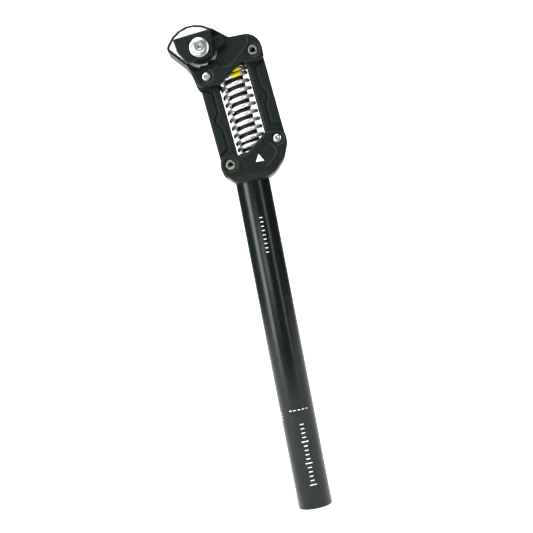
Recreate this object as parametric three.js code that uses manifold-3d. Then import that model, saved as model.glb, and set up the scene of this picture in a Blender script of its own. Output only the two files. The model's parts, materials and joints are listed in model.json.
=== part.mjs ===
// A parallelogram suspension seatpost. Millimetres, +Z up along the seat tube, +X to the front of the
// bicycle, and the origin at the centre of the tube's lower end. The bicycle's right side is -Y.
//
// Two equal links join a lower head on the seat tube to an upper head that carries the saddle clamp.
// When the saddle is loaded both links swing back about their lower pivots, so the upper head stays
// parallel to itself. The front link has a foot at its top and the rear link one at its bottom, and
// the coil spring stands between the two feet.
import * as THREE from 'three';
import { mergeVertices } from 'three/addons/utils/BufferGeometryUtils.js';
import Module from 'manifold-3d';

// ---------------------------------------------------------------- driving dimensions
const TUBE_DIAMETER = 31.6;
const TUBE_WALL = 2.6;
const TUBE_LENGTH = 304;
const SPIGOT_DEPTH = 42; // how far the lower head's spigot reaches down inside the tube

const LINK_LENGTH = 83; // between a link's two pivots
const LINK_LEAN = 4.6; // degrees, how far the links lean back at rest
const PIVOT_SPREAD = 48.8; // between the two lower pivots, and between the two upper ones
const PIVOT_RISE = 19.0; // degrees, how much higher the front pivot of each pair lies
const REAR_PIVOT = { x: -16.7, aboveTube: 18.1 };

const LINK_OUTER = 8.0; // from the pivot line to the link's outer edge
const LINK_INNER = 8.7; // from the pivot line to the edge that faces the spring
const LINK_END_RADIUS = 8.7;
const LINK_HALF_WIDTH = 15.0;
const LINK_FLANGE = 4.0;
const LINK_WEB = 3.6;
const LINK_GROOVE = { width: 2.6, depth: 1.6, fromEdge: 9.7, jog: 3.8, jogHalf: 2.2, shoulder: 7.7 };

const FOOT = { near: 2.5, thick: 5.0, radius: 14.0 };
const PAD_THICK = 1.9;

const CHEEK_THICK = 5.0;
const BOSS_RADIUS = 9.4;
const RECESS_DEPTH = 2.5;

const SPRING = { outer: 28.6, wire: 3.9, activeTurns: 9, steps: 12, sides: 6 };
const SPRING_WASHER = { thick: 1.0, inner: 19.6 };
const ELASTOMER_DIAMETER = 17.8;
const ELASTOMER_OFFSET = 0.4; // each half stands this far off the spring's axis

const AXLE = { diameter: 8.0, headDiameter: 9.0, headThick: 2.2, socket: 4.7, bore: 5.2 };
const AXLE_SCREW = { headDiameter: 7.4, headThick: 1.6, socket: 2.5 };
const COUNTERBORE = { diameter: 13.6, depth: 0.8 };
const BUSH_WALL = 1.5;
const BUSH_LENGTH = 9;
const BUSH_FLANGE = { diameter: 15.0, thick: 1.0 };

const CLAMP_ABOVE_PIVOT = { x: -1.0, z: 25.5 };
const CLAMP_ARC_RADIUS = 29.3;
const CLAMP_ANGLE = 5.5; // degrees, the front of the jaws is this much higher
const EYE_HALF_WIDTH = 14.5;
const CLAMP_POCKET_RADIUS = 16.6;
const BOLT = { diameter: 8.0, headDiameter: 12.4, headThick: 3.4, socket: 6.0, flange: 17.8 };
const RAIL = { diameter: 7.0, spread: 44.0, aboveBolt: 8.6 };
const JAW = { thick: 6.0, waistRadius: 13.4 };
const JAW_SWEEP = 19.2; // radius that the jaws' lower corners turn in

const GAP = 0.3; // between pieces that touch
const RUNNING = 0.06; // radial clearance of a shaft in its bush
const OPEN_PIVOT_RUNNING = 0.3; // the same at the rear upper pivot
const ROUND = 24; // facets round a pivot or a bolt
const PIVOT_FACETS = 20; // facets round an axle, its screw and its bushes

// ---------------------------------------------------------------- places worked out from them
const rad = (degrees) => (degrees * Math.PI) / 180;
const P = (x, z) => new THREE.Vector2(x, z);
const TUBE_RADIUS = TUBE_DIAMETER / 2;
const along = P(-Math.sin(rad(LINK_LEAN)), Math.cos(rad(LINK_LEAN))); // up a link
const across = P(Math.cos(rad(LINK_LEAN)), Math.sin(rad(LINK_LEAN))); // from a link to the front
const rearLower = P(REAR_PIVOT.x, TUBE_LENGTH + REAR_PIVOT.aboveTube);
const frontLower = rearLower
  .clone()
  .add(P(Math.cos(rad(PIVOT_RISE)), Math.sin(rad(PIVOT_RISE))).multiplyScalar(PIVOT_SPREAD));
const rearUpper = rearLower.clone().addScaledVector(along, LINK_LENGTH);
const frontUpper = frontLower.clone().addScaledVector(along, LINK_LENGTH);
const boltAt = rearUpper.clone().add(P(CLAMP_ABOVE_PIVOT.x, CLAMP_ABOVE_PIVOT.z));

const spreadAngle = rad(PIVOT_RISE - LINK_LEAN);
const linkSpacing = PIVOT_SPREAD * Math.cos(spreadAngle); // square to the links
const linkStep = PIVOT_SPREAD * Math.sin(spreadAngle); // the front link sits this much higher
const footSeat = FOOT.near + FOOT.thick; // from a pivot to the face that carries the spring
const springRoom = LINK_LENGTH + linkStep - 2 * footSeat;
const CHEEK_INNER = LINK_HALF_WIDTH + GAP;
const CHEEK_OUTER = CHEEK_INNER + CHEEK_THICK;
const cavityRadius = LINK_END_RADIUS + 3 * GAP;
const boreRadius = AXLE.diameter / 2 + RUNNING;
const bushOuter = AXLE.diameter / 2 + RUNNING + BUSH_WALL;
const RAIL_RADIUS = RAIL.diameter / 2;
const WING_INNER = RAIL.spread / 2 - RAIL_RADIUS + 0.1; // the jaws' wings clear the head's flanks
const JAW_MEET = RAIL.spread / 2;
const JAW_OUTER = JAW_MEET + JAW.thick;

// A point at (across, along) from a pivot, in the links' own directions.
const inLink = (pivot, v, u) => pivot.clone().addScaledVector(across, v).addScaledVector(along, u);

// ---------------------------------------------------------------- solids
const wasm = await Module();
wasm.setup();

function solid(geometry) {
  const bare = geometry.clone();
  bare.deleteAttribute('normal');
  bare.deleteAttribute('uv');
  const merged = mergeVertices(bare, 1e-4);
  return new wasm.Manifold(
    new wasm.Mesh({
      numProp: 3,
      vertProperties: merged.attributes.position.array,
      triVerts: new Uint32Array(merged.index.array),
    }),
  );
}

const joined = (...solids) => solids.reduce((whole, next) => whole.add(next));
const cut = (whole, ...tools) => tools.reduce((left, tool) => left.subtract(tool), whole);

// A closed outline from its corners { at, r }, each rounded with an arc of radius r. Where two arcs
// want more than the edge between them, they share it in proportion.
function outline(corners, facets = 2.5) {
  const corner = corners.map(({ at, r = 0 }, i) => {
    const before = corners[(i + corners.length - 1) % corners.length].at;
    const after = corners[(i + 1) % corners.length].at;
    const into = before.clone().sub(at);
    const out = after.clone().sub(at);
    const half = into.angleTo(out) / 2;
    return { at, into, out, half, wants: r / Math.tan(half) };
  });
  const share = (own, other, edge) => (edge.length() * 0.94 * own) / Math.max(own + other, edge.length());
  const points = corner.flatMap(({ at, into, out, half, wants }, i) => {
    if (!wants) return [at];
    const before = corner[(i + corner.length - 1) % corner.length].wants;
    const after = corner[(i + 1) % corner.length].wants;
    const reach = Math.min(share(wants, before, into), share(wants, after, out));
    const radius = reach * Math.tan(half);
    const sweep = Math.PI - 2 * half;
    const steps = Math.max(2, Math.ceil((sweep / Math.PI) * 4 * facets));
    const start = at.clone().addScaledVector(into, reach / into.length());
    const middle = into.clone().normalize().add(out.clone().normalize()).normalize();
    const centre = at.clone().addScaledVector(middle, radius / Math.sin(half));
    const turn = -Math.sign(into.cross(out)) * sweep;
    return Array.from({ length: steps + 1 }, (_, k) =>
      start.clone().rotateAround(centre, (turn * k) / steps),
    );
  });
  return new THREE.Shape(points);
}

// The outline in X and Z, run from y = low to y = high, with its edges bevelled.
function slab(shape, low, high, bevel = 0) {
  const geometry = new THREE.ExtrudeGeometry(shape, {
    depth: high - low - 2 * bevel,
    bevelEnabled: bevel > 0,
    bevelThickness: bevel,
    bevelSize: bevel,
    bevelOffset: -bevel,
    bevelSegments: 1,
    curveSegments: 8,
    steps: 1,
  });
  geometry.rotateX(Math.PI / 2);
  geometry.translate(0, high - bevel, 0);
  return solid(geometry);
}

// A turned piece about a line along Y through `at`; the profile's points are [radius, y].
function turned(at, profile, facets = ROUND) {
  const geometry = new THREE.LatheGeometry(profile.map(([r, y]) => new THREE.Vector2(r, y)), facets);
  geometry.translate(at.x, 0, at.y);
  return solid(geometry);
}

// A plain round bar along Y.
const bar = (at, radius, low, high, facets = ROUND) =>
  turned(at, [[0, low], [radius, low], [radius, high], [0, high]], facets);

// The same on the far side of the centre plane, and a pair of tools, one for each side.
const farSide = (piece) => piece.mirror([0, 1, 0]);
const bothSides = (piece) => piece.add(farSide(piece));

// A piece modelled about +Z, stood on the links' axis at `at` so that its +Z runs up the links.
function alongLink(geometry, at) {
  geometry.rotateY(-rad(LINK_LEAN));
  geometry.translate(at.x, 0, at.y);
  return geometry;
}

// ---------------------------------------------------------------- finishes and the assembly
const finish = (color, roughness, metalness) =>
  new THREE.MeshStandardMaterial({ color, roughness, metalness });
const BLACK_ANODISED = finish(0x1c211f, 0.42, 0.8);
const BRIGHT_STEEL = finish(0xd4d6d8, 0.22, 1);
const ZINC = finish(0xb9bcbe, 0.3, 1);
const BLACK_RUBBER = finish(0x101111, 0.8, 0);
const BUSH_POLYMER = finish(0x2b2c2c, 0.6, 0);

const seatpost = new THREE.Group();

function add(name, shape, material) {
  let geometry = shape;
  if (!shape.isBufferGeometry) {
    const { vertProperties, triVerts } = shape.getMesh();
    geometry = new THREE.BufferGeometry();
    geometry.setAttribute('position', new THREE.BufferAttribute(vertProperties, 3));
    geometry.setIndex(new THREE.BufferAttribute(triVerts, 1));
    geometry.computeVertexNormals();
  }
  const mesh = new THREE.Mesh(geometry, material);
  mesh.name = name;
  seatpost.add(mesh);
}

// ---------------------------------------------------------------- seat tube
const tubeInner = TUBE_RADIUS - TUBE_WALL;
const tube = new THREE.LatheGeometry(
  [
    [tubeInner, 0],
    [TUBE_RADIUS - 0.5, 0],
    [TUBE_RADIUS, 0.5],
    [TUBE_RADIUS, TUBE_LENGTH],
    [tubeInner, TUBE_LENGTH],
    [tubeInner, 0],
  ].map(([r, z]) => new THREE.Vector2(r, z)),
  48,
);
tube.rotateX(Math.PI / 2);
add('seat_tube', solid(tube), BLACK_ANODISED);

// ---------------------------------------------------------------- lower head
// The side view of the casting, anticlockwise from the rear of the tube.
const lowerSide = outline([
  { at: P(-TUBE_RADIUS, TUBE_LENGTH + 2), r: 3 },
  { at: P(TUBE_RADIUS, TUBE_LENGTH + 2), r: 3 },
  { at: P(TUBE_RADIUS + 6.7, TUBE_LENGTH + 5), r: 14 },
  { at: frontLower.clone().add(P(3.6, -18)), r: 16 },
  { at: frontLower.clone().add(P(8.3, -6)), r: 14 },
  { at: frontLower.clone().add(P(8.3, 8.3)), r: 8.3 },
  { at: frontLower.clone().add(P(-9.4, 7.9)), r: 6 },
  { at: rearLower.clone().add(P(12.6, 4.2)), r: 14 },
  { at: rearLower.clone().add(P(4, 9.1)), r: 5 },
  { at: rearLower.clone().add(P(-9.2, 9.1)), r: 8.5 },
  { at: rearLower.clone().add(P(-9.2, -5.6)), r: 8 },
]);

// Room between the cheeks for the link ends, the rear link's foot and their swing.
function room(circles, corners) {
  const swept = slab(outline(corners.map((at) => ({ at }))), -CHEEK_INNER, CHEEK_INNER);
  return joined(swept, ...circles.map((at) => bar(at, cavityRadius, -CHEEK_INNER, CHEEK_INNER)));
}
const ABOVE = rearUpper.y;
const lowerRoom = room([rearLower, frontLower], [
  P(rearLower.x - 60, rearLower.y - cavityRadius),
  P(rearLower.x, rearLower.y - cavityRadius),
  rearLower,
  inLink(rearLower, linkSpacing / 2 + FOOT.radius + 2.5, 0),
  frontLower,
  frontLower.clone().add(P(6.8, -6.8)),
  frontLower.clone().add(P(60, -6.8)),
  P(frontLower.x + 60, ABOVE),
  P(rearLower.x - 60, ABOVE),
]);

// Seen from the front the casting narrows in a curve to the tube's diameter.
function frontView(narrow, wide, low, high) {
  const half = [
    P(wide, high),
    P(wide, low + (wide - narrow) * 2.2),
    P(narrow + (wide - narrow) * 0.45, low + (wide - narrow) * 0.8),
    P(narrow, low),
  ];
  const shape = new THREE.Shape();
  half.forEach((p, i) => (i ? shape.lineTo(p.x, p.y) : shape.moveTo(p.x, p.y)));
  [...half].reverse().forEach((p) => shape.lineTo(-p.x, p.y));
  const geometry = new THREE.ExtrudeGeometry(shape, { depth: 400, bevelEnabled: false });
  geometry.rotateX(Math.PI / 2);
  geometry.rotateZ(Math.PI / 2);
  geometry.translate(-200, 0, 0);
  return solid(geometry);
}

function zTurned(profile, facets = 48) {
  const geometry = new THREE.LatheGeometry(profile.map(([r, z]) => new THREE.Vector2(r, z)), facets);
  geometry.rotateX(Math.PI / 2);
  return solid(geometry);
}

const spigotRadius = tubeInner - GAP / 2;
const collar = zTurned([
  [0, TUBE_LENGTH - SPIGOT_DEPTH],
  [spigotRadius, TUBE_LENGTH - SPIGOT_DEPTH],
  [spigotRadius, TUBE_LENGTH + GAP],
  [TUBE_RADIUS, TUBE_LENGTH + GAP],
  [TUBE_RADIUS, TUBE_LENGTH + 2.5],
  [TUBE_RADIUS + 1, TUBE_LENGTH + 5],
  [0, TUBE_LENGTH + 5],
]);
const spigotBore = zTurned([
  [0, TUBE_LENGTH - SPIGOT_DEPTH - 1],
  [spigotRadius - 4, TUBE_LENGTH - SPIGOT_DEPTH - 1],
  [spigotRadius - 4, TUBE_LENGTH - 2],
  [0, TUBE_LENGTH - 2],
]);

// A bore through both cheeks and a shallow counterbore on each flank.
const pivotHoles = (at) =>
  joined(
    bar(at, boreRadius, -CHEEK_OUTER - 1, CHEEK_OUTER + 1),
    bothSides(bar(at, COUNTERBORE.diameter / 2, CHEEK_OUTER - COUNTERBORE.depth, CHEEK_OUTER + 1)),
    bothSides(bar(at, AXLE.headDiameter / 2 + GAP, CHEEK_OUTER - 3.2, CHEEK_OUTER + 1)),
  );

const lowerBadge = bothSides(
  slab(
    outline([
      { at: frontLower.clone().add(P(-35.4, -25.6)), r: 4 },
      { at: frontLower.clone().add(P(-38.4, -17.2)), r: 3 },
      { at: frontLower.clone().add(P(-8.6, -0.4)), r: 5 },
      { at: frontLower.clone().add(P(-1.2, -12)), r: 7 },
      { at: frontLower.clone().add(P(-18, -26.8)), r: 9 },
    ]),
    CHEEK_OUTER - 0.8,
    CHEEK_OUTER + 2,
  ),
);

const lowerHead = cut(
  joined(
    slab(lowerSide, -CHEEK_OUTER, CHEEK_OUTER, 1.4).intersect(
      frontView(TUBE_RADIUS, CHEEK_OUTER + 1, TUBE_LENGTH + 2, ABOVE),
    ),
    collar,
  ),
  spigotBore,
  lowerRoom,
  pivotHoles(rearLower),
  pivotHoles(frontLower),
  lowerBadge,
);
add('lower_head', lowerHead, BLACK_ANODISED);

// ---------------------------------------------------------------- upper head
const upperSide = outline([
  { at: rearUpper.clone().add(P(-9.4, -9.4)), r: 9.3 },
  { at: rearUpper.clone().add(P(10.2, -9.6)), r: 14 },
  { at: frontUpper.clone().add(P(-12.5, -8.8)), r: 6 },
  { at: frontUpper.clone().add(P(-3, -10.4)), r: 8 },
  { at: frontUpper.clone().add(P(4, -10.4)), r: 6 },
  { at: frontUpper.clone().add(P(8.9, -7.5)), r: 3 },
  { at: frontUpper.clone().add(P(8.6, 16.2)), r: 16 },
  { at: frontUpper.clone().add(P(-19.6, 16.2)), r: 5 },
  { at: boltAt.clone().add(P(-11.6, 38.4)), r: CLAMP_ARC_RADIUS },
  { at: boltAt.clone().add(P(-30.4, 6.2)), r: 4 },
  { at: rearUpper.clone().add(P(-14.1, 11.9)), r: 20 },
]);
const BELOW = frontLower.y;
const upperRoom = room([rearUpper, frontUpper], [
  P(frontUpper.x + 60, frontUpper.y + cavityRadius),
  P(frontUpper.x, frontUpper.y + cavityRadius),
  frontUpper,
  inLink(frontUpper, -(linkSpacing / 2 + FOOT.radius + 2.5), 0),
  rearUpper,
  rearUpper.clone().add(P(-6.8, 6.8)),
  rearUpper.clone().add(P(-60, 6.8)),
  P(rearUpper.x - 60, BELOW),
  P(frontUpper.x + 60, BELOW),
]);

// The flat machined pocket on each flank that the inner jaw turns in.
const pocket = bothSides(
  joined(
    bar(boltAt, CLAMP_POCKET_RADIUS, EYE_HALF_WIDTH, CHEEK_OUTER + 2, 36),
    slab(
      outline([
        { at: boltAt.clone().add(P(-60, 60)) },
        { at: boltAt.clone().add(P(-60, -30)) },
        { at: boltAt.clone().add(P(-14, -9)) },
        { at: boltAt.clone().add(P(13, 10)) },
        { at: boltAt.clone().add(P(16, 60)) },
      ]),
      EYE_HALF_WIDTH,
      CHEEK_OUTER + 2,
    ),
  ),
);

// The hollow in each flank that leaves room for the saddle's rails.
const railHollow = bothSides(
  slab(
    outline([
      { at: boltAt.clone().add(P(10, -3)), r: 2 },
      { at: boltAt.clone().add(P(14.4, -19.6)), r: 5 },
      { at: boltAt.clone().add(P(24, -19.6)), r: 7 },
      { at: boltAt.clone().add(P(43.6, -3)), r: 4 },
      { at: boltAt.clone().add(P(44, 4)), r: 4 },
      { at: boltAt.clone().add(P(36, 12)), r: 2 },
      { at: boltAt.clone().add(P(30, 40)) },
      { at: boltAt.clone().add(P(8, 40)) },
    ]),
    CHEEK_OUTER - RECESS_DEPTH,
    CHEEK_OUTER + 2,
  ),
);

// Round the bolt the flanks are dished, so that the corners of the jaws turn clear of them.
const dishFloor = WING_INNER - GAP;
const jawDish = bothSides(
  turned(
    boltAt,
    [
      [0, dishFloor],
      [JAW_SWEEP, dishFloor],
      [JAW_SWEEP + 1.6, CHEEK_OUTER + 0.5],
      [0, CHEEK_OUTER + 0.5],
    ],
    36,
  ),
);

const boltHole = bar(boltAt, BOLT.diameter / 2 + GAP, -CHEEK_OUTER, CHEEK_OUTER);
const upperHead = cut(
  slab(upperSide, -CHEEK_OUTER, CHEEK_OUTER, 1.4),
  upperRoom,
  pivotHoles(rearUpper),
  pivotHoles(frontUpper),
  pocket,
  railHollow,
  jawDish,
  boltHole,
);
add('upper_head', upperHead, BLACK_ANODISED);

// ---------------------------------------------------------------- links
// One casting serves as both: the front link is the rear one turned half a turn end for end.
const linkGroove = (edge) => {
  const { width, fromEdge, jog, jogHalf, shoulder } = LINK_GROOVE;
  const v = -LINK_OUTER + fromEdge;
  const middle = LINK_LENGTH / 2;
  const path = [
    P(-LINK_OUTER - 2, 9.5),
    P(-LINK_OUTER + 1, 9.5),
    P(v, 14.5),
    P(v, middle - shoulder),
    P(v - jog, middle - jogHalf),
    P(v - jog, middle + jogHalf),
    P(v, middle + shoulder),
    P(v, LINK_LENGTH - 14.5),
    P(-LINK_OUTER + 1, LINK_LENGTH - 9.5),
    P(-LINK_OUTER - 2, LINK_LENGTH - 9.5),
  ];
  return path.map((p, i) => {
    const a = path[Math.max(i - 1, 0)];
    const b = path[Math.min(i + 1, path.length - 1)];
    const side = b.clone().sub(a).normalize().rotateAround(P(0, 0), Math.PI / 2);
    return p.clone().addScaledVector(side, (edge * width) / 2);
  });
};

function linkCasting() {
  const at = (v, u) => ({ at: P(v, u), r: 0 });
  const body = outline([
    { at: P(-LINK_OUTER, -LINK_END_RADIUS), r: 8 },
    { at: P(LINK_INNER, -LINK_END_RADIUS), r: 8 },
    { at: P(LINK_INNER, LINK_LENGTH + LINK_END_RADIUS), r: 8 },
    { at: P(-LINK_OUTER, LINK_LENGTH + LINK_END_RADIUS), r: 8 },
  ]);
  const footCentre = linkSpacing / 2;
  const foot = joined(
    zTurned(
      [
        [0, FOOT.near],
        [FOOT.radius, FOOT.near],
        [FOOT.radius, footSeat],
        [0, footSeat],
      ],
      24,
    ).translate([footCentre, 0, 0]),
    slab(
      outline([
        at(0, FOOT.near),
        at(footCentre, FOOT.near),
        at(footCentre, footSeat),
        at(0, footSeat),
      ]),
      -FOOT.radius + 3,
      FOOT.radius - 3,
    ),
  );
  const channel = slab(
    outline([
      { at: P(LINK_WEB - LINK_OUTER, footSeat + 5), r: 4 },
      { at: P(LINK_INNER + 2, footSeat + 5) },
      { at: P(LINK_INNER + 2, LINK_LENGTH - 11.5) },
      { at: P(LINK_WEB - LINK_OUTER, LINK_LENGTH - 11.5), r: 4 },
    ]),
    LINK_FLANGE - LINK_HALF_WIDTH,
    LINK_HALF_WIDTH - LINK_FLANGE,
  );
  const grooveShape = new THREE.Shape([...linkGroove(-1), ...linkGroove(1).reverse()]);
  const groove = bothSides(
    slab(grooveShape, LINK_HALF_WIDTH - LINK_GROOVE.depth, LINK_HALF_WIDTH + 1),
  );
  const bushHole = (u) =>
    joined(
      bar(P(0, u), bushOuter + GAP / 3, -LINK_HALF_WIDTH - 1, LINK_HALF_WIDTH + 1),
      bothSides(
        bar(
          P(0, u),
          BUSH_FLANGE.diameter / 2 + GAP,
          LINK_HALF_WIDTH - BUSH_FLANGE.thick - GAP / 2,
          LINK_HALF_WIDTH + 1,
        ),
      ),
    );
  return cut(
    joined(slab(body, -LINK_HALF_WIDTH, LINK_HALF_WIDTH, 1.0), foot),
    channel,
    groove,
    bushHole(0),
    bushHole(LINK_LENGTH),
  );
}
const casting = linkCasting();
// The casting's own frame has the seated pivot at the origin and the link up +Z.
const rearLink = casting.rotate([0, -LINK_LEAN, 0]).translate([rearLower.x, 0, rearLower.y]);
const frontLink = casting.rotate([0, 180 - LINK_LEAN, 0]).translate([frontUpper.x, 0, frontUpper.y]);
add('rear_link', rearLink, BLACK_ANODISED);
add('front_link', frontLink, BLACK_ANODISED);

// ---------------------------------------------------------------- pivots
// Each pivot is a hollow axle that carries a screw in its far end. Axles go in from alternate sides.
const shoulder = CHEEK_OUTER - COUNTERBORE.depth + 0.3; // where an axle's head stands proud to
function pivotSet(name, at, side) {
  const headOut = shoulder + 0.4;
  const axle = turned(at, [
    [AXLE.bore / 2, -CHEEK_OUTER + 2.9],
    [AXLE.diameter / 2, -CHEEK_OUTER + 2.9],
    [AXLE.diameter / 2, CHEEK_OUTER - 2.9],
    [AXLE.headDiameter / 2, CHEEK_OUTER - 2.9],
    [AXLE.headDiameter / 2, headOut - 0.5],
    [AXLE.headDiameter / 2 - 0.5, headOut],
    [AXLE.socket / 2, headOut],
    [AXLE.socket / 2, headOut - 5],
    [AXLE.bore / 2, headOut - 5],
    [AXLE.bore / 2, -CHEEK_OUTER + 2.9],
  ], PIVOT_FACETS);
  const screw = turned(at, [
    [0, -2],
    [AXLE.bore / 2 - GAP / 2, -2],
    [AXLE.bore / 2 - GAP / 2, CHEEK_OUTER - 2.6],
    [AXLE_SCREW.headDiameter / 2, CHEEK_OUTER - 2.6],
    [AXLE_SCREW.headDiameter / 2, headOut - 0.7],
    [AXLE_SCREW.headDiameter / 2 - 0.7, headOut],
    [AXLE_SCREW.socket / 2, headOut],
    [AXLE_SCREW.socket / 2, headOut - 1.6],
    [0, headOut - 1.6],
  ], PIVOT_FACETS);
  add(`${name}_axle`, side > 0 ? farSide(axle) : axle, ZINC);
  add(`${name}_axle_screw`, side > 0 ? screw : farSide(screw), BRIGHT_STEEL);
}
pivotSet('front_upper', frontUpper, 1);
pivotSet('rear_upper', rearUpper, -1);
pivotSet('front_lower', frontLower, -1);
pivotSet('rear_lower', rearLower, 1);

// Two flanged polymer bushes at each pivot, pressed into the link from its two flanks.
function bushPair(name, at, running) {
  const outerFace = LINK_HALF_WIDTH - 0.05;
  // The facets of the bore lie outside its true circle, so that the axle's corners turn clear.
  const inner = (AXLE.diameter / 2 + running) / Math.cos(Math.PI / PIVOT_FACETS);
  const bush = turned(at, [
    [inner, outerFace - BUSH_LENGTH],
    [bushOuter, outerFace - BUSH_LENGTH],
    [bushOuter, outerFace - BUSH_FLANGE.thick],
    [BUSH_FLANGE.diameter / 2, outerFace - BUSH_FLANGE.thick],
    [BUSH_FLANGE.diameter / 2, outerFace],
    [inner, outerFace],
    [inner, outerFace - BUSH_LENGTH],
  ], PIVOT_FACETS);
  add(`${name}_bush_left`, bush, BUSH_POLYMER);
  add(`${name}_bush_right`, farSide(bush), BUSH_POLYMER);
}
bushPair('front_upper', frontUpper, RUNNING);
bushPair('rear_upper', rearUpper, OPEN_PIVOT_RUNNING);
bushPair('front_lower', frontLower, RUNNING);
bushPair('rear_lower', rearLower, RUNNING);

// ---------------------------------------------------------------- spring and what stands round it
const springFoot = inLink(rearLower, linkSpacing / 2, footSeat);
const springTop = inLink(frontUpper, -linkSpacing / 2, -footSeat);

function onSpringAxis(profile, facets, at = springFoot) {
  const points = profile.map(([r, u]) => new THREE.Vector2(r, u));
  const geometry = new THREE.LatheGeometry(points, facets);
  geometry.rotateX(Math.PI / 2);
  return alongLink(geometry, at);
}
const tubeProfile = (inner, outer, low, high) => [
  [inner, low],
  [outer, low],
  [outer, high],
  [inner, high],
  [inner, low],
];
const { outer: springOuter, wire, activeTurns } = SPRING;
const lowWasher = [GAP / 3, GAP / 3 + SPRING_WASHER.thick];
const highWasher = [springRoom - GAP / 3 - SPRING_WASHER.thick, springRoom - GAP / 3];
const washer = ([low, high]) =>
  onSpringAxis(tubeProfile(SPRING_WASHER.inner / 2, springOuter / 2 - 0.4, low, high), 24);
add('lower_spring_washer', solid(washer(lowWasher)), ZINC);
add('upper_spring_washer', solid(washer(highWasher)), ZINC);

// A right-handed coil: one closed turn at each end and the active turns between.
const coilLow = lowWasher[1] + wire / 2 + GAP / 3;
const coilHigh = highWasher[0] - wire / 2 - GAP / 3;
const closedRise = wire + 0.15;
class Coil extends THREE.Curve {
  getPoint(t, target = new THREE.Vector3()) {
    const turns = activeTurns + 2;
    const done = t * turns;
    const active = (coilHigh - coilLow - 2 * closedRise) / activeTurns;
    const rise =
      Math.min(done, 1) * closedRise +
      THREE.MathUtils.clamp(done - 1, 0, activeTurns) * active +
      Math.max(done - 1 - activeTurns, 0) * closedRise;
    const radius = (springOuter - wire) / 2;
    const turn = 2 * Math.PI * done;
    return target.set(radius * Math.cos(turn), radius * Math.sin(turn), coilLow + rise);
  }
}
const wireSection = new THREE.Shape();
for (let i = 0; i < SPRING.sides; i += 1) {
  const a = (2 * Math.PI * i) / SPRING.sides;
  const point = [(wire / 2) * Math.cos(a), (wire / 2) * Math.sin(a)];
  if (i) wireSection.lineTo(...point);
  else wireSection.moveTo(...point);
}
const coil = new THREE.ExtrudeGeometry(wireSection, {
  steps: (activeTurns + 2) * SPRING.steps,
  extrudePath: new Coil(),
  bevelEnabled: false,
});
add('main_spring', solid(alongLink(coil, springFoot)), BRIGHT_STEEL);

// Two elastomer rods inside the coil, one standing on each foot, damp the spring and end its stroke.
const elastomerLength = springRoom / 2 - GAP;
const elastomer = (low, high, offset) =>
  solid(
    onSpringAxis(
      [
        [0, low],
        [ELASTOMER_DIAMETER / 2 - 0.8, low],
        [ELASTOMER_DIAMETER / 2, low + 0.8],
        [ELASTOMER_DIAMETER / 2, high - 0.8],
        [ELASTOMER_DIAMETER / 2 - 0.8, high],
        [0, high],
      ],
      16,
      inLink(springFoot, offset, 0),
    ),
  );
add('lower_elastomer', elastomer(GAP, elastomerLength, -ELASTOMER_OFFSET), BLACK_RUBBER);
add(
  'upper_elastomer',
  elastomer(springRoom - elastomerLength, springRoom - GAP, ELASTOMER_OFFSET),
  BLACK_RUBBER,
);

// A rubber pad between each foot and its head is what the linkage tops out on.
function topOutPad(at, sense) {
  const middle = inLink(at, (sense * linkSpacing) / 2 + sense * 2, 0);
  const face = FOOT.near - GAP;
  const pad = outline(
    [
      [-9, face - PAD_THICK],
      [9, face - PAD_THICK],
      [9, face],
      [-9, face],
    ].map(([v, u]) => ({ at: inLink(middle, v, sense * u) })),
  );
  return slab(pad, -10, 10);
}
add('lower_top_out_pad', topOutPad(rearLower, 1), BLACK_RUBBER);
add('upper_top_out_pad', topOutPad(frontUpper, -1), BLACK_RUBBER);

// ---------------------------------------------------------------- saddle clamp
const jawAlong = P(Math.cos(rad(CLAMP_ANGLE)), Math.sin(rad(CLAMP_ANGLE)));
const jawUp = P(-jawAlong.y, jawAlong.x);
const inJaw = (e, n) => boltAt.clone().addScaledVector(jawAlong, e).addScaledVector(jawUp, n);
const jawOutline = (corners) => outline(corners.map(([e, n, r]) => ({ at: inJaw(e, n), r })));

// The rail lies in a groove that is half in the inner jaw and half in the outer one.
const railLine = new THREE.CylinderGeometry(RAIL_RADIUS, RAIL_RADIUS, 90, 24);
railLine.rotateZ(Math.PI / 2);
railLine.rotateY(-rad(CLAMP_ANGLE));
const railAt = inJaw(0, RAIL.aboveBolt);
railLine.translate(railAt.x, JAW_MEET, railAt.y);
const railTool = solid(railLine);
const boltTool = bar(boltAt, BOLT.diameter / 2 + GAP, 0, JAW_OUTER + 5);
const coneRadius = BOLT.flange / 2;
const coneSeat = turned(boltAt, [
  [0, JAW_OUTER - 1.6],
  [coneRadius - 1.2, JAW_OUTER - 1.6],
  [coneRadius + GAP, JAW_OUTER + 0.2],
  [coneRadius + GAP, JAW_OUTER + 1],
  [0, JAW_OUTER + 1],
]);

const innerJaw = cut(
  joined(
    bar(boltAt, JAW.waistRadius, EYE_HALF_WIDTH + GAP, WING_INNER + 0.5, 24),
    slab(
      jawOutline([
        [-14.4, -9.6, 1.5],
        [10.6, -9.6, 1.5],
        [13.2, -6.0, 1],
        [24.5, -0.8, 1.5],
        [21.1, 9.2, 1.5],
        [17.5, 13.2, 1],
        [-20.6, 13.2, 1],
        [-19.8, 1.3, 2],
      ]),
      WING_INNER,
      JAW_MEET - GAP / 2,
    ),
  ),
  railTool,
  boltTool,
);
const outerJaw = cut(
  slab(
    jawOutline([
      [-14.4, -10.4, 1.6],
      [11.2, -10.4, 1.6],
      [15.3, 13.5, 1.6],
      [-21.1, 13.5, 1.6],
      [-20.2, 1.3, 3],
    ]),
    JAW_MEET + GAP / 2,
    JAW_OUTER,
    0.9,
  ),
  railTool,
  boltTool,
  coneSeat,
);
add('inner_jaw_left', innerJaw, BLACK_ANODISED);
add('inner_jaw_right', farSide(innerJaw), BLACK_ANODISED);
add('outer_jaw_left', outerJaw, BLACK_ANODISED);
add('outer_jaw_right', farSide(outerJaw), BLACK_ANODISED);

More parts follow.
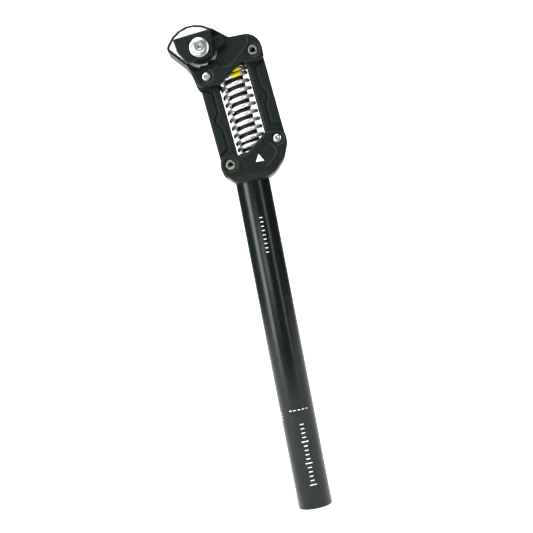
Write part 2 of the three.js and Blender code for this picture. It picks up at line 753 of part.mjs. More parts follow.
// A dished washer seats in each outer jaw. The bolt goes in from the right and the nut from the left.
const dishedWasher = turned(boltAt, [
  [BOLT.diameter / 2 + GAP / 2, JAW_OUTER - 1.3],
  [coneRadius - 1.4, JAW_OUTER - 1.3],
  [coneRadius, JAW_OUTER + 0.3],
  [coneRadius, JAW_OUTER + 0.9],
  [BOLT.headDiameter / 2 + 0.6, JAW_OUTER + 1.9],
  [BOLT.diameter / 2 + GAP / 2, JAW_OUTER + 1.9],
  [BOLT.diameter / 2 + GAP / 2, JAW_OUTER - 1.3],
]);
add('clamp_washer_left', dishedWasher, BRIGHT_STEEL);
add('clamp_washer_right', farSide(dishedWasher), BRIGHT_STEEL);

const headFace = JAW_OUTER + 1.9 + GAP / 2;
const hexSocket = (depthFrom, depthTo) => {
  const geometry = new THREE.CylinderGeometry(BOLT.socket / Math.sqrt(3), BOLT.socket / Math.sqrt(3), 1, 6);
  geometry.scale(1, depthTo - depthFrom, 1);
  geometry.translate(boltAt.x, (depthFrom + depthTo) / 2, boltAt.y);
  return solid(geometry);
};
const boltHead = [
  [BOLT.diameter / 2, headFace],
  [BOLT.headDiameter / 2, headFace],
  [BOLT.headDiameter / 2, headFace + 0.8],
  [BOLT.headDiameter / 2 - 1.6, headFace + BOLT.headThick],
  [0, headFace + BOLT.headThick],
];
const clampBolt = turned(boltAt, [[0, -JAW_OUTER + 3], [BOLT.diameter / 2, -JAW_OUTER + 3], ...boltHead]);
const boltEnd = -JAW_OUTER + 3;
add(
  'clamp_bolt',
  farSide(cut(clampBolt, hexSocket(headFace + BOLT.headThick - 4, headFace + BOLT.headThick + 1))),
  BRIGHT_STEEL,
);
const nutStart = -boltEnd + GAP;
const clampNut = cut(
  turned(boltAt, [[0, nutStart], [BOLT.diameter / 2, nutStart], ...boltHead]),
  hexSocket(headFace + BOLT.headThick - 3.4, headFace + BOLT.headThick + 1),
);
add('clamp_nut', clampNut, BRIGHT_STEEL);

export default seatpost;
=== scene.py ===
# %% [markdown]
# # A suspension seatpost in Blender
# The real post is a black anodised tube with a sprung parallelogram on top. The CAD model already has
# every piece at its true size, so this file gives the pieces their fine surfaces and finishes. It
# could redraw each piece by hand. Working from the CAD boxes keeps everything in register instead.

import json
import math

import bmesh
import bpy
from mathutils import Matrix, Vector


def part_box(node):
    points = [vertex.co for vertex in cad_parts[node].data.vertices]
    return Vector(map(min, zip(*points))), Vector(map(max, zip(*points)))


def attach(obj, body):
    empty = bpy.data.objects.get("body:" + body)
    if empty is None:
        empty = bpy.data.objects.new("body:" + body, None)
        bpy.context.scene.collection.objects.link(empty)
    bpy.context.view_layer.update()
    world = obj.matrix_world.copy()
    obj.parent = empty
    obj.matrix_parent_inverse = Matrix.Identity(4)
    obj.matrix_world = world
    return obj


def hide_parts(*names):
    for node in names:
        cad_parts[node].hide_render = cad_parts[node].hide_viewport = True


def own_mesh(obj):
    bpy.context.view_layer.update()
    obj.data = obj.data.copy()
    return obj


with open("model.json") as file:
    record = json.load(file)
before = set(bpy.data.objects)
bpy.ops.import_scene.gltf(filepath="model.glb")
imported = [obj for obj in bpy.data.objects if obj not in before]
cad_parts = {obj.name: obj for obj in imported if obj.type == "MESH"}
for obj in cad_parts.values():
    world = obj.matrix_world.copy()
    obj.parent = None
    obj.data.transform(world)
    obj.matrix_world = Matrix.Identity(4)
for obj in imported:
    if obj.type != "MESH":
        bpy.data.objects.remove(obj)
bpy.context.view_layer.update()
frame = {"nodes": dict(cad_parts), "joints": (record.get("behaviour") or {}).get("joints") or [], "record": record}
MM = 0.001
joints = {j["name"]: j for j in frame["joints"]}
print("CAD nodes:", len(frame["nodes"]), "joints:", len(joints))

# %% [markdown]
# ## Colour and node helpers
# Finishes are matched and given as sRGB hex values, but shaders work in linear light, so one function
# converts them. Another adds a shader node with its settings and links, which keeps each material
# down to a few readable lines.

# %% Helpers for materials
def linear(hex_colour):
    channels = [int(hex_colour[i : i + 2], 16) / 255 for i in (1, 3, 5)]
    return tuple(c / 12.92 if c <= 0.04045 else ((c + 0.055) / 1.055) ** 2.4 for c in channels) + (1.0,)


def add_node(tree, kind, inputs=None, **settings):
    """Adds a node; `inputs` maps a socket to a value or to another node's output."""
    made = tree.nodes.new(kind)
    for name, value in settings.items():
        setattr(made, name, value)
    for socket, value in (inputs or {}).items():
        if isinstance(value, bpy.types.NodeSocket):
            tree.links.new(value, made.inputs[socket])
        else:
            made.inputs[socket].default_value = value
    return made


def ramp(tree, factor, stops):
    made = add_node(tree, "ShaderNodeValToRGB", {"Fac": factor})
    while len(made.color_ramp.elements) < len(stops):
        made.color_ramp.elements.new(0.5)
    for element, (place, colour) in zip(made.color_ramp.elements, stops):
        element.position = place
        element.color = colour
    return made.outputs["Color"]


def grey(value):
    return (value, value, value, 1.0)


def surface(name, dark, light, roughness, grain_mm, bump_mm, stretch=(1, 1, 1), **shader):
    """A finish whose colour and roughness wander slightly and whose grain has a real size."""
    material = bpy.data.materials.new(name)
    material.use_nodes = True
    tree = material.node_tree
    tree.nodes.clear()
    place = add_node(tree, "ShaderNodeTexCoord").outputs["Object"]
    wide = add_node(
        tree, "ShaderNodeTexNoise", {"Vector": place, "Scale": 1 / (9 * MM), "Detail": 3.0}
    ).outputs["Fac"]
    stretched = add_node(tree, "ShaderNodeMapping", {"Vector": place, "Scale": stretch}).outputs["Vector"]
    fine = add_node(
        tree, "ShaderNodeTexNoise", {"Vector": stretched, "Scale": 1 / (grain_mm * MM), "Detail": 2.0}
    ).outputs["Fac"]
    colour = ramp(tree, wide, [(0.3, linear(dark)), (0.7, linear(light))])
    rough = ramp(tree, fine, [(0.3, grey(roughness[0])), (0.7, grey(roughness[1]))])
    bump = add_node(
        tree, "ShaderNodeBump", {"Height": fine, "Strength": 0.5, "Distance": bump_mm * MM}
    ).outputs["Normal"]
    bsdf = add_node(
        tree, "ShaderNodeBsdfPrincipled", {"Base Color": colour, "Roughness": rough, "Normal": bump, **shader}
    )
    add_node(tree, "ShaderNodeOutputMaterial", {"Surface": bsdf.outputs["BSDF"]})
    return material

# %% [markdown]
# ## Finishes
# Both heads, the links and the jaws are forged aluminium, blasted and black anodised: satin, with
# soft wide highlights. The tube has the same dye over a smooth drawn surface, so it reflects more
# sharply. The clamp pocket is milled after anodising and shows bright metal.

# %% The finishes
# Blasted grain is about 0.1 mm; it is drawn at 0.25 mm so that it shows.
FORGED = surface("black_anodised_forging", "#09140e", "#101b14", (0.4, 0.52), 0.25, 0.02,
                 **{"Metallic": 0.3, "Specular IOR Level": 0.3})
TUBE_METAL = surface("black_anodised_drawn_tube", "#08120c", "#0e1812", (0.22, 0.29), 0.5, 0.006,
                     stretch=(1, 1, 0.06), **{"Metallic": 0.3, "Specular IOR Level": 0.35})
# Milling leaves fine parallel strokes, stretched along the rail direction.
MILLED = surface("milled_aluminium", "#d9dcdb", "#eceeed", (0.34, 0.46), 0.35, 0.01,
                 stretch=(0.08, 1, 1), **{"Metallic": 0.2})
# Turned and polished steel throws small sharp lights.
STEEL = surface("polished_stainless_steel", "#c9cccc", "#e2e4e3", (0.28, 0.34), 0.8, 0.001,
                **{"Metallic": 1.0})
# Zinc plate is duller and slightly olive.
ZINC = surface("bright_zinc_plate", "#8d9088", "#adb0a6", (0.24, 0.36), 0.4, 0.006, **{"Metallic": 1.0})
# Cast rubber has no gloss and swallows light, and moulded bearing polymer is a dull dark grey.
RUBBER = surface("black_elastomer", "#090a0a", "#121313", (0.55, 0.7), 0.4, 0.02)
POLYMER = surface("bearing_polymer", "#232424", "#2d2e2e", (0.5, 0.62), 0.3, 0.01)
# Plating over hard-drawn wire is near white, with long bright lines along each turn.
CHROME = surface("plated_spring_steel", "#dfe2e3", "#f6f7f7", (0.16, 0.26), 0.5, 0.004, **{"Metallic": 0.7})
print("finishes:", len(bpy.data.materials))

# %% [markdown]
# ## Where things are
# The joints already say where the four pivots and the clamp bolt lie, so the links' direction and
# the spring's axis follow from them. Nothing here is measured twice.

# %% Pivots, directions and bodies
front_lower = Vector(joints["suspension_travel"]["pos_m"])
rear_lower = Vector(joints["rear_link_swing"]["pos_m"])
front_upper = Vector(joints["upper_head_level"]["pos_m"])
rear_upper = rear_lower + front_upper - front_lower
bolt_at = Vector(joints["saddle_tilt"]["pos_m"])
ALONG = (front_upper - front_lower).normalized()
ACROSS = Vector((ALONG.z, 0, -ALONG.x))
SPACING = (front_lower - rear_lower).dot(ACROSS)
bodies = frame["record"]["behaviour"]["bodies"]
body_of = {node: body for body, nodes in bodies.items() for node in nodes}
print("spring stands", round(SPACING / MM / 2, 2), "mm from each link")


def object_from(name, vertices, faces, edges=()):
    mesh = bpy.data.meshes.new(name)
    mesh.from_pydata([tuple(v) for v in vertices], list(edges), faces)
    mesh.validate()
    made = bpy.data.objects.new(name, mesh)
    bpy.context.scene.collection.objects.link(made)
    return made


def apply_modifiers(piece):
    graph = bpy.context.evaluated_depsgraph_get()
    graph.update()
    finished = bpy.data.meshes.new_from_object(piece.evaluated_get(graph))
    piece.modifiers.clear()
    piece.data = finished


def stands_for(piece, node, *materials):
    """Gives the piece its finish and puts it in the place of its CAD node."""
    piece.data.materials.clear()
    for material in materials:
        piece.data.materials.append(material)
    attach(piece, body_of[node])
    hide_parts(node)
    return piece

# %% [markdown]
# ## The forgings
# A forged and blasted part has no sharp edge anywhere. Bevelling every edge by hand would be slow.
# A voxel remesh of the CAD solid followed by a smooth gives the same even, worn radius on all edges,
# inside corners too, and takes the facets off the large arcs.

# %% Heads, links and jaws
def forging(node, voxel_mm, passes, *materials):
    piece = bpy.data.objects.new(node + "_forging", frame["nodes"][node].data.copy())
    bpy.context.scene.collection.objects.link(piece)
    remesh = piece.modifiers.new("even skin", "REMESH")
    remesh.mode = "VOXEL"
    remesh.voxel_size = voxel_mm * MM * 1.0
    remesh.use_smooth_shade = True
    soften = piece.modifiers.new("soft edges", "SMOOTH")
    soften.factor = 0.5
    soften.iterations = passes
    apply_modifiers(piece)
    for polygon in piece.data.polygons:
        polygon.use_smooth = True
    print(node, "faces:", len(piece.data.polygons))
    return stands_for(piece, node, *materials)


HEAD_SKIN = 0.38
lower_head = forging("lower_head", HEAD_SKIN, 4, FORGED)
upper_head = forging("upper_head", HEAD_SKIN, 4, FORGED, MILLED)
rear_link = forging("rear_link", HEAD_SKIN, 2, FORGED)
front_link = forging("front_link", HEAD_SKIN, 2, FORGED)
for side in ("left", "right"):
    forging("inner_jaw_" + side, 0.28, 3, FORGED)
    forging("outer_jaw_" + side, 0.28, 3, FORGED)

# %% [markdown]
# The pocket floors on the upper head are milled bright after anodising, while the casting's broken edge
# round them stays black. The floor lies in one plane on each flank, so its faces are found by place
# and direction, and a rim a few faces wide is then given back to the black.

# %% Milled pocket floors
POCKET_HALF_WIDTH = 14.5 * MM
POCKET_TOLERANCE = 0.3 * MM
POCKET_REACH = 45 * MM
POCKET_FRONT = 24 * MM
FACING = 0.985
RIM = 1.4


def black_rim(mesh, rings):
    """Grows the black of the outer edge inwards over the milled floor by some rings of faces."""
    skin = bmesh.new()
    skin.from_mesh(mesh)
    edge_faces = {
        f for f in skin.faces
        if f.material_index == 0 and abs(f.calc_center_median().y) < POCKET_HALF_WIDTH - 0.01 * MM
    }
    for _ in range(rings):
        reached = {n for f in edge_faces for v in f.verts for n in v.link_faces if n.material_index == 1}
        for face in reached:
            face.material_index = 0
        edge_faces = reached
    skin.to_mesh(mesh)
    skin.free()


for polygon in upper_head.data.polygons:
    in_plane = abs(abs(polygon.center.y) - POCKET_HALF_WIDTH) < POCKET_TOLERANCE
    near = (polygon.center - bolt_at).length < POCKET_REACH and polygon.center.x < bolt_at.x + POCKET_FRONT
    polygon.material_index = int(in_plane and near and abs(polygon.normal.y) > FACING)
black_rim(upper_head.data, round(RIM / HEAD_SKIN))
print("milled faces:", sum(p.material_index for p in upper_head.data.polygons))

# %% [markdown]
# ## Turned pieces
# Axles, screws, washers, bolt and nut come off a lathe, so each is a profile spun about its axis. Spun
# meshes keep crisp edges and true circles, which a remesh would lose. Hex sockets are cut afterwards.

# %% Lathe work
SPIN_STEPS = 64


def ring_faces(rows, steps):
    """Joins rows of a spun profile, the last one back to the first."""
    faces = []
    for i in range(rows):
        j = (i + 1) % rows
        for k in range(steps):
            n = (k + 1) % steps
            faces.append((i * steps + k, i * steps + n, j * steps + n, j * steps + k))
    return faces


def spun(name, at, profile_mm, side=1):
    """Spins (radius, depth) points about a line along Y; `side` 1 puts them on the left, -1 right."""
    vertices = []
    for r, y in profile_mm:
        for k in range(SPIN_STEPS):
            a = 2 * math.pi * k / SPIN_STEPS
            vertices.append((at.x + r * MM * math.cos(a), side * y * MM, at.z + r * MM * math.sin(a)))
    piece = object_from(name, vertices, ring_faces(len(profile_mm), SPIN_STEPS))
    clean = bmesh.new()
    clean.from_mesh(piece.data)
    bmesh.ops.remove_doubles(clean, verts=clean.verts, dist=1e-7)
    bmesh.ops.dissolve_degenerate(clean, edges=clean.edges, dist=1e-7)
    bmesh.ops.recalc_face_normals(clean, faces=clean.faces)
    clean.to_mesh(piece.data)
    clean.free()
    return piece


def hex_cut(piece, at, across_flats_mm, low_mm, high_mm, side):
    corner = across_flats_mm / math.sqrt(3) * MM
    ring = [(corner * math.cos(math.pi * k / 3), corner * math.sin(math.pi * k / 3)) for k in range(6)]
    points = [(at.x + x, side * y * MM, at.z + z) for y in (low_mm, high_mm) for x, z in ring]
    faces = [tuple(range(6)), tuple(range(11, 5, -1))]
    faces += [(k, 6 + k, 6 + (k + 1) % 6, (k + 1) % 6) for k in range(6)]
    tool = object_from("hex key", points, faces)
    clean = bmesh.new()
    clean.from_mesh(tool.data)
    bmesh.ops.recalc_face_normals(clean, faces=clean.faces)
    clean.to_mesh(tool.data)
    clean.free()
    broach = piece.modifiers.new("hex socket", "BOOLEAN")
    broach.object = tool
    broach.solver = "EXACT"
    apply_modifiers(piece)
    bpy.data.objects.remove(tool)


def crisp(piece, width_mm=0.12):
    bevel = piece.modifiers.new("broken edges", "BEVEL")
    bevel.width = width_mm * MM
    bevel.segments = 2
    bevel.limit_method = "ANGLE"
    bevel.angle_limit = math.radians(25)
    apply_modifiers(piece)
    piece.data.shade_smooth()
    piece.data.set_sharp_from_angle(angle=math.radians(32))
    return piece

# %% [markdown]
# Each pivot shows a socketed axle head on one flank and a small domed screw on the other, and the
# axles go in from alternate sides.

# %% Pivots
AXLE_FACE = 20.2  # how far out the heads stand, from the centre plane
HEAD_SEAT, SCREW_SEAT = 17.4, 17.7
AXLE_RADIUS, AXLE_HEAD_RADIUS, AXLE_BORE_RADIUS, HEAD_CHAMFER = 4.0, 4.5, 2.6, 0.5
SOCKET_RADIUS, SOCKET_MOUTH_RADIUS, SOCKET_DEPTH, SOCKET_CHAMFER = 2.35, 2.7, 5, 0.4
SCREW_RADIUS, SCREW_HEAD_RADIUS, SCREW_TIP = 2.45, 3.7, -2
SCREW_DOME = [(3.7, 0.9), (3.3, 0.35), (2.2, 0)]  # radius and depth below the face
SCREW_KEY, SCREW_KEY_DEPTH = 2.5, 1.6
PAST_FACE = 1  # how far a cutting tool reaches past the face it enters


def pivot(name, at, side):
    axle = spun(
        name + "_axle_turned",
        at,
        [
            (AXLE_BORE_RADIUS, -HEAD_SEAT),
            (AXLE_RADIUS, -HEAD_SEAT),
            (AXLE_RADIUS, HEAD_SEAT),
            (AXLE_HEAD_RADIUS, HEAD_SEAT),
            (AXLE_HEAD_RADIUS, AXLE_FACE - HEAD_CHAMFER),
            (AXLE_HEAD_RADIUS - HEAD_CHAMFER, AXLE_FACE),
            (SOCKET_MOUTH_RADIUS, AXLE_FACE),
            (SOCKET_RADIUS, AXLE_FACE - SOCKET_CHAMFER),
            (SOCKET_RADIUS, AXLE_FACE - SOCKET_DEPTH),
            (AXLE_BORE_RADIUS, AXLE_FACE - SOCKET_DEPTH),
        ],
        side,
    )
    stands_for(crisp(axle), name + "_axle", ZINC)
    shank = [(0, SCREW_TIP), (SCREW_RADIUS, SCREW_TIP)]
    shank += [(SCREW_RADIUS, SCREW_SEAT), (SCREW_HEAD_RADIUS, SCREW_SEAT)]
    dome = [(r, AXLE_FACE - depth) for r, depth in SCREW_DOME] + [(0, AXLE_FACE)]
    screw = spun(name + "_screw_turned", at, shank + dome, -side)
    hex_cut(screw, at, SCREW_KEY, AXLE_FACE - SCREW_KEY_DEPTH, AXLE_FACE + PAST_FACE, -side)
    stands_for(crisp(screw), name + "_axle_screw", STEEL)


pivot("front_upper", front_upper, -1)
pivot("rear_upper", rear_upper, 1)
pivot("front_lower", front_lower, 1)
pivot("rear_lower", rear_lower, -1)

# %% Clamp bolt, nut and dished washers
JAW_OUTER = 28.0
DISH_DEPTH = 1.9
SEATING = 0.15
HEAD_HEIGHT, HEAD_FLAT = 3.4, 0.8
HEAD_FACE = JAW_OUTER + DISH_DEPTH + SEATING
HEAD_TOP = HEAD_FACE + HEAD_HEIGHT
BOLT_RADIUS, BOLT_HEAD_RADIUS, BOLT_KEY = 4.0, 6.2, 5.0
BOLT_DOME = [(5.7, 0.9), (4.7, 0)]  # radius and depth below the top
DISHED_PROFILE = [
    (4.15, 26.7), (7.5, 26.7), (8.9, 28.3), (8.9, 28.9), (8.5, 29.2), (6.8, 29.9), (4.15, 29.9)
]
WASHER_EDGE, BOLT_EDGE = 0.15, 0.2
for side, sign in (("left", 1), ("right", -1)):
    washer = spun("dished_washer_" + side, bolt_at, DISHED_PROFILE, sign)
    stands_for(crisp(washer, WASHER_EDGE), "clamp_washer_" + side, STEEL)
for name, node, start, depth, sign in (
    ("clamp_bolt_turned", "clamp_bolt", -25.0, 4.0, -1),
    ("clamp_nut_turned", "clamp_nut", 25.3, 3.4, 1),
):
    shank = [(0, start), (BOLT_RADIUS, start), (BOLT_RADIUS, HEAD_FACE)]
    head = [(BOLT_HEAD_RADIUS, HEAD_FACE), (BOLT_HEAD_RADIUS, HEAD_FACE + HEAD_FLAT)]
    dome = [(r, HEAD_TOP - below) for r, below in BOLT_DOME] + [(0, HEAD_TOP)]
    turned = spun(name, bolt_at, shank + head + dome, sign)
    hex_cut(turned, bolt_at, BOLT_KEY, HEAD_TOP - depth, HEAD_TOP + PAST_FACE, sign)
    stands_for(crisp(turned, BOLT_EDGE), node, STEEL)
print("turned pieces done")

# %% [markdown]
# ## The coil spring
# A real coil is one round wire. A swept mesh would flatten with the spring when it is compressed.
# Here the mesh holds only the wire's centreline, and a node modifier gives it its thickness, so the
# wire stays round at every height. A painted mark is stored on the centreline and travels with it.

# %% Coil centreline and wire
WIRE = 3.9
COIL_OUTER = 28.6
ACTIVE_TURNS = 9
POINTS_PER_TURN = 36
SEAT = 7.5
WASHER = 1.0
seat_low = rear_lower + ACROSS * (SPACING / 2) + ALONG * (SEAT * MM)
ROOM = (front_upper - rear_lower).dot(ALONG) / MM - 2 * SEAT
END_CLEARANCE = 0.1
coil_low = WASHER + WIRE / 2 + 2 * END_CLEARANCE
coil_high = ROOM - coil_low
CLOSED_GAP = 0.15
CLOSED_RISE = WIRE + CLOSED_GAP
turns = ACTIVE_TURNS + 2
active_rise = (coil_high - coil_low - 2 * CLOSED_RISE) / ACTIVE_TURNS


def coil_height(done):
    low = min(done, 1) * CLOSED_RISE
    middle = min(max(done - 1, 0), ACTIVE_TURNS) * active_rise
    return coil_low + low + middle + max(done - 1 - ACTIVE_TURNS, 0) * CLOSED_RISE


# The factory's yellow mark lies across the upper turns, on the flank towards the right.
PAINT_FROM, PAINT_TO = -1.62, -0.98
PAINT_LOW, PAINT_HIGH = ROOM - 12, ROOM - 1
points, paint = [], []
for i in range(turns * POINTS_PER_TURN + 1):
    done = i / POINTS_PER_TURN
    angle = 2 * math.pi * done
    radius = (COIL_OUTER - WIRE) / 2
    height = coil_height(done)
    offset = ACROSS * (radius * math.cos(angle)) + Vector((0, radius * math.sin(angle), 0))
    points.append(seat_low + offset * MM + ALONG * (height * MM))
    facing = math.remainder(angle, 2 * math.pi)
    paint.append(1.0 if PAINT_FROM < facing < PAINT_TO and PAINT_LOW < height < PAINT_HIGH else 0.0)
coil = object_from("coil_spring_wire", points, [], [(i, i + 1) for i in range(len(points) - 1)])
mark = coil.data.attributes.new("paint", "FLOAT", "POINT")
mark.data.foreach_set("value", paint)

painted = CHROME.copy()
painted.name = "plated_spring_steel_with_paint_mark"
tree = painted.node_tree
shader = tree.nodes["Principled BSDF"]
marked = add_node(tree, "ShaderNodeAttribute", attribute_name="paint").outputs["Fac"]
bare_colour = shader.inputs["Base Color"].links[0].from_socket
mixed = add_node(tree, "ShaderNodeMix", data_type="RGBA")
tree.links.new(marked, mixed.inputs["Factor"])
tree.links.new(bare_colour, mixed.inputs[6])
mixed.inputs[7].default_value = linear("#f2e200")
tree.links.new(mixed.outputs[2], shader.inputs["Base Color"])
metal_left = add_node(tree, "ShaderNodeMath", {0: marked, 1: -0.7, 2: 0.7}, operation="MULTIPLY_ADD")
tree.links.new(metal_left.outputs[0], shader.inputs["Metallic"])

wire_nodes = bpy.data.node_groups.new("round wire", "GeometryNodeTree")
wire_nodes.interface.new_socket("Geometry", in_out="INPUT", socket_type="NodeSocketGeometry")
wire_nodes.interface.new_socket("Geometry", in_out="OUTPUT", socket_type="NodeSocketGeometry")
line = add_node(wire_nodes, "NodeGroupInput").outputs[0]
curve = add_node(wire_nodes, "GeometryNodeMeshToCurve", {"Mesh": line}).outputs["Curve"]
section = add_node(
    wire_nodes, "GeometryNodeCurvePrimitiveCircle", {"Resolution": 20, "Radius": WIRE / 2 * MM}
).outputs["Curve"]
swept = add_node(
    wire_nodes, "GeometryNodeCurveToMesh", {"Curve": curve, "Profile Curve": section, "Fill Caps": True}
).outputs["Mesh"]
smooth = add_node(wire_nodes, "GeometryNodeSetShadeSmooth", {"Geometry": swept}).outputs["Geometry"]
finished = add_node(
    wire_nodes, "GeometryNodeSetMaterial", {"Geometry": smooth, "Material": painted}
).outputs["Geometry"]
add_node(wire_nodes, "NodeGroupOutput", {0: finished})
coil.modifiers.new("wire", "NODES").node_group = wire_nodes
stands_for(coil, "main_spring", painted)
print("coil turns:", turns, "pitch:", round(active_rise, 2), "mm")

# %% [markdown]
# ## Elastomer rods, washers and pads
# Two black elastomer rods stand inside the coil. They are soft, so the remesh rounds their ends well.

# %% Soft pieces and small fittings
seat_high = seat_low + ALONG * (ROOM * MM)
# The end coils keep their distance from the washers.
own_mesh(coil)
for node, anchor in (("lower_elastomer", seat_low), ("upper_elastomer", seat_high)):
    rod = forging(node, 0.4, 4, RUBBER)
    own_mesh(rod)
for node in ("lower_top_out_pad", "upper_top_out_pad"):
    forging(node, 0.35, 4, RUBBER)
for node in ("lower_spring_washer", "upper_spring_washer"):
    forging(node, 0.25, 2, ZINC)
for node in body_of:
    if "_bush_" in node:
        bush = frame["nodes"][node]
        bush.data.materials.clear()
        bush.data.materials.append(POLYMER)
print("soft pieces done")

# %% [markdown]
# ## Seat tube and its printed marks
# The tube is drawn aluminium, so it is spun fresh with many sides for a clean long highlight. Its
# printing is pad-printed white ink: a dashed minimum-insertion ring and a plain depth scale. Ink is a
# film on the surface, so the marks are curved patches a few hundredths of a millimetre proud.

# %% Tube
tube_low, tube_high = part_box("seat_tube")
TUBE_RADIUS = (tube_high.x - tube_low.x) / 2 / MM
TUBE_LENGTH = tube_high.z / MM
TUBE_WALL = 2.6
TUBE_BORE = TUBE_RADIUS - TUBE_WALL
BORE_CHAMFER, RIM_ROUND = 0.4, 0.6
RIM_CUT = 0.3 * RIM_ROUND
TUBE_SIDES = 160
profile = [
    (TUBE_BORE, BORE_CHAMFER),
    (TUBE_BORE + BORE_CHAMFER, 0),
    (TUBE_RADIUS - RIM_ROUND, 0),
    (TUBE_RADIUS - RIM_CUT, RIM_CUT),
    (TUBE_RADIUS, RIM_ROUND),
    (TUBE_RADIUS, TUBE_LENGTH),
    (TUBE_BORE, TUBE_LENGTH),
]
vertices = []
for r, z in profile:
    for k in range(TUBE_SIDES):
        a = 2 * math.pi * k / TUBE_SIDES
        vertices.append((r * MM * math.cos(a), r * MM * math.sin(a), z * MM))
tube = object_from("seat_tube_drawn", vertices, ring_faces(len(profile), TUBE_SIDES))
tube.data.shade_smooth()
tube.data.set_sharp_from_angle(angle=math.radians(40))
stands_for(tube, "seat_tube", TUBE_METAL)
print("tube:", 2 * TUBE_RADIUS, "mm across and", TUBE_LENGTH, "mm long")

# %% Printed marks
# Pad-print ink is an opaque, slightly grey white with a low sheen.
INK = surface("white_pad_print", "#e2e5e3", "#f1f3f2", (0.4, 0.5), 0.2, 0.002)
INK_FILM = 0.03
PATCH_STEPS = 6


def tube_patch(vertices, faces, around_mm, z_mm, wide_mm, high_mm):
    """Adds a curved patch of ink; `around_mm` is measured round the tube from its right flank."""
    first = len(vertices)
    r = (TUBE_RADIUS + INK_FILM) * MM
    for k in range(PATCH_STEPS + 1):
        a = (around_mm - wide_mm / 2 + wide_mm * k / PATCH_STEPS) / TUBE_RADIUS
        for z in (z_mm - high_mm / 2, z_mm + high_mm / 2):
            vertices.append((r * math.sin(a), -r * math.cos(a), z * MM))
    for k in range(PATCH_STEPS):
        i = first + 2 * k
        faces.append((i, i + 2, i + 3, i + 1))


INSERTION_LINE, DASHES, DASH_FIRST, DASH_PITCH, DASH_LENGTH, DASH_HEIGHT = 91.5, 5, -6.4, 3.9, 2.2, 0.75
REAR_TICKS, REAR_TICK_AROUND, REAR_TICK_BELOW, REAR_TICK_PITCH = 3, -19.0, 1.5, 3.0
SCALE_LOW, SCALE_HIGH, SCALE_STEP, SCALE_AROUND = 22, 82, 4, 1.5
LONG_EVERY, LONG_TICK, SHORT_TICK, TICK_HEIGHT = 5, 6.4, 3.4, 0.8
UPPER_LOW, UPPER_HIGH, UPPER_AROUND, UPPER_TICK = 238, 272, 1.0, 2.6
vertices, faces = [], []
for k in range(DASHES):
    around = DASH_FIRST + DASH_PITCH * k
    tube_patch(vertices, faces, around, INSERTION_LINE, DASH_LENGTH, DASH_HEIGHT)
for k in range(REAR_TICKS):
    height = INSERTION_LINE - REAR_TICK_BELOW - REAR_TICK_PITCH * k
    tube_patch(vertices, faces, REAR_TICK_AROUND, height, DASH_LENGTH, DASH_HEIGHT)
for k, z in enumerate(range(SCALE_LOW, SCALE_HIGH, SCALE_STEP)):
    tick = SHORT_TICK if k % LONG_EVERY else LONG_TICK
    tube_patch(vertices, faces, SCALE_AROUND, z, tick, TICK_HEIGHT)
for z in range(UPPER_LOW, UPPER_HIGH, SCALE_STEP):
    tube_patch(vertices, faces, UPPER_AROUND, z, UPPER_TICK, TICK_HEIGHT)
marks = object_from("printed_depth_scale", vertices, faces)
marks.data.materials.append(INK)
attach(marks, "root")
print("ink patches:", len(faces) // PATCH_STEPS)

# %% [markdown]
# The lower head carries a small white mark in the shallow pad on each flank. A plain triangle stands in
# for the maker's sign. It is printed like the scale, so it is a flat film.

# %% Pad mark
CHEEK_FACE, PAD_DEPTH = 20.3, 0.8
PAD_FLOOR = CHEEK_FACE - PAD_DEPTH
MARK_CENTRE = (9.9, 322.4)
MARK_RADIUS = 4.4
MARK_CORNERS = 3
vertices, faces = [], []
for flank in (-1, 1):
    first = len(vertices)
    for k in range(MARK_CORNERS):
        a = math.pi / 2 + 2 * math.pi * k / MARK_CORNERS
        x, z = MARK_CENTRE[0] + MARK_RADIUS * math.cos(a), MARK_CENTRE[1] + MARK_RADIUS * math.sin(a)
        vertices.append(Vector((x, flank * (PAD_FLOOR + INK_FILM), z)) * MM)
    faces.append(tuple(range(first, first + MARK_CORNERS)))
pad_mark = object_from("printed_pad_mark", vertices, faces)
pad_mark.data.materials.append(INK)
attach(pad_mark, "root")
print("pad marks:", len(faces))

# %% [markdown]
# ## Studio
# The post is seen side-on and leaning a little, against plain white. One glowing sheet of paper serves
# as floor and backdrop. The room is kept dim, so that a few broad lamps give black metal the long soft
# highlights that show its shape.

# %% Floor and backdrop
SWEEP_WIDTH, SWEEP_FRONT, SWEEP_BACK, SWEEP_RADIUS, SWEEP_TOP = 2.1, -0.3, 1.2, 0.9, 2.4
profile = [(SWEEP_FRONT, 0.0), (SWEEP_BACK, 0.0)]
SWEEP_STEPS = 12
FLOOR_BELOW = 0.0004
for k in range(1, SWEEP_STEPS + 1):
    a = math.pi / 2 * k / SWEEP_STEPS
    profile.append((SWEEP_BACK + SWEEP_RADIUS * math.sin(a), SWEEP_RADIUS * (1 - math.cos(a))))
profile.append((SWEEP_BACK + SWEEP_RADIUS, SWEEP_TOP))
vertices = [(x, y, z - FLOOR_BELOW) for y, z in profile for x in (-SWEEP_WIDTH / 2, SWEEP_WIDTH / 2)]
faces = [(2 * i, 2 * i + 1, 2 * i + 3, 2 * i + 2) for i in range(len(profile) - 1)]
sweep = object_from("paper_sweep", vertices, faces)
sweep.data.shade_smooth()
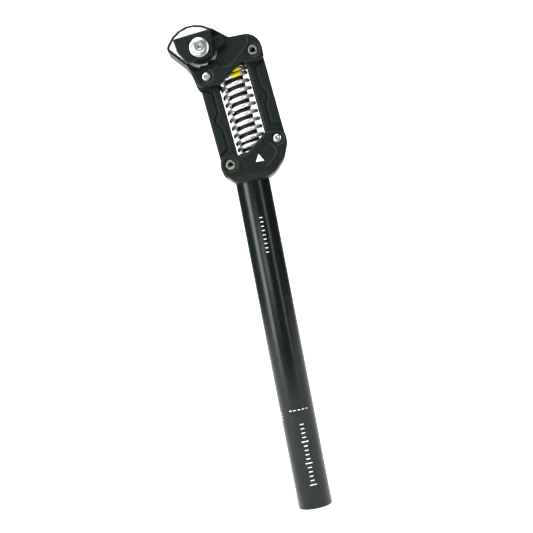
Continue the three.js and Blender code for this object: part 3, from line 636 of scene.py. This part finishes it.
# The paper is lit from behind like a light table, so it stays white without a lamp on it.
PAPER = surface("backlit_white_paper", "#f7f7f7", "#fafafa", (0.9, 1.0), 2.0, 0.01,
                **{"Emission Color": grey(1.0), "Emission Strength": 0.9})
sweep.data.materials.append(PAPER)
print("paper sweep:", SWEEP_WIDTH, "m wide")

# %% Lamps and sky
def lamp(name, place, target, size, watts):
    light = bpy.data.lights.new(name, "AREA")
    light.shape = "RECTANGLE"
    light.size, light.size_y = size
    light.energy = watts
    made = bpy.data.objects.new(name, light)
    made.location = place
    made.rotation_euler = (Vector(target) - Vector(place)).to_track_quat("-Z", "Y").to_euler()
    bpy.context.scene.collection.objects.link(made)


lamp("left_softbox", (-1.05, -0.75, 0.5), (0, 0, 0.25), (0.5, 1.5), 28)
lamp("right_strip", (0.95, -0.95, 0.35), (0, 0, 0.25), (0.15, 1.2), 5)
lamp("top_soft", (-0.2, -0.9, 1.7), (0, 0, 0.35), (0.9, 0.9), 27)
lamp("low_front_fill", (-0.4, -1.3, 0.1), (0, 0, 0.42), (0.5, 0.16), 3)
sky = bpy.data.worlds.new("dim studio")
sky.use_nodes = True
sky.node_tree.nodes["Background"].inputs["Color"].default_value = grey(1.0)
sky.node_tree.nodes["Background"].inputs["Strength"].default_value = 0.12
bpy.context.scene.world = sky
bpy.context.scene.view_settings.view_transform = "Standard"
print("lamps:", len(bpy.data.lights))

# %% Camera
# It looks level across the post and is rolled, so the tube appears to lean back by the same angle.
CAMERA_AT = Vector((-2.5, -969, 225.3)) * MM
ROLL = math.radians(11.0)
LENS, SENSOR = 70.7, 36
camera_data = bpy.data.cameras.new("camera")
camera_data.lens = LENS
camera_data.sensor_width = SENSOR
camera = bpy.data.objects.new("camera", camera_data)
right = Vector((math.cos(ROLL), 0, -math.sin(ROLL)))
up = Vector((math.sin(ROLL), 0, math.cos(ROLL)))
back = Vector((0, -1, 0))
camera.matrix_world = Matrix.Translation(CAMERA_AT) @ Matrix((right, up, back)).transposed().to_4x4()
bpy.context.scene.collection.objects.link(camera)
bpy.context.scene.camera = camera
print("camera stands", round(-CAMERA_AT.y, 3), "m away")

# %% Finish
print("scene built")
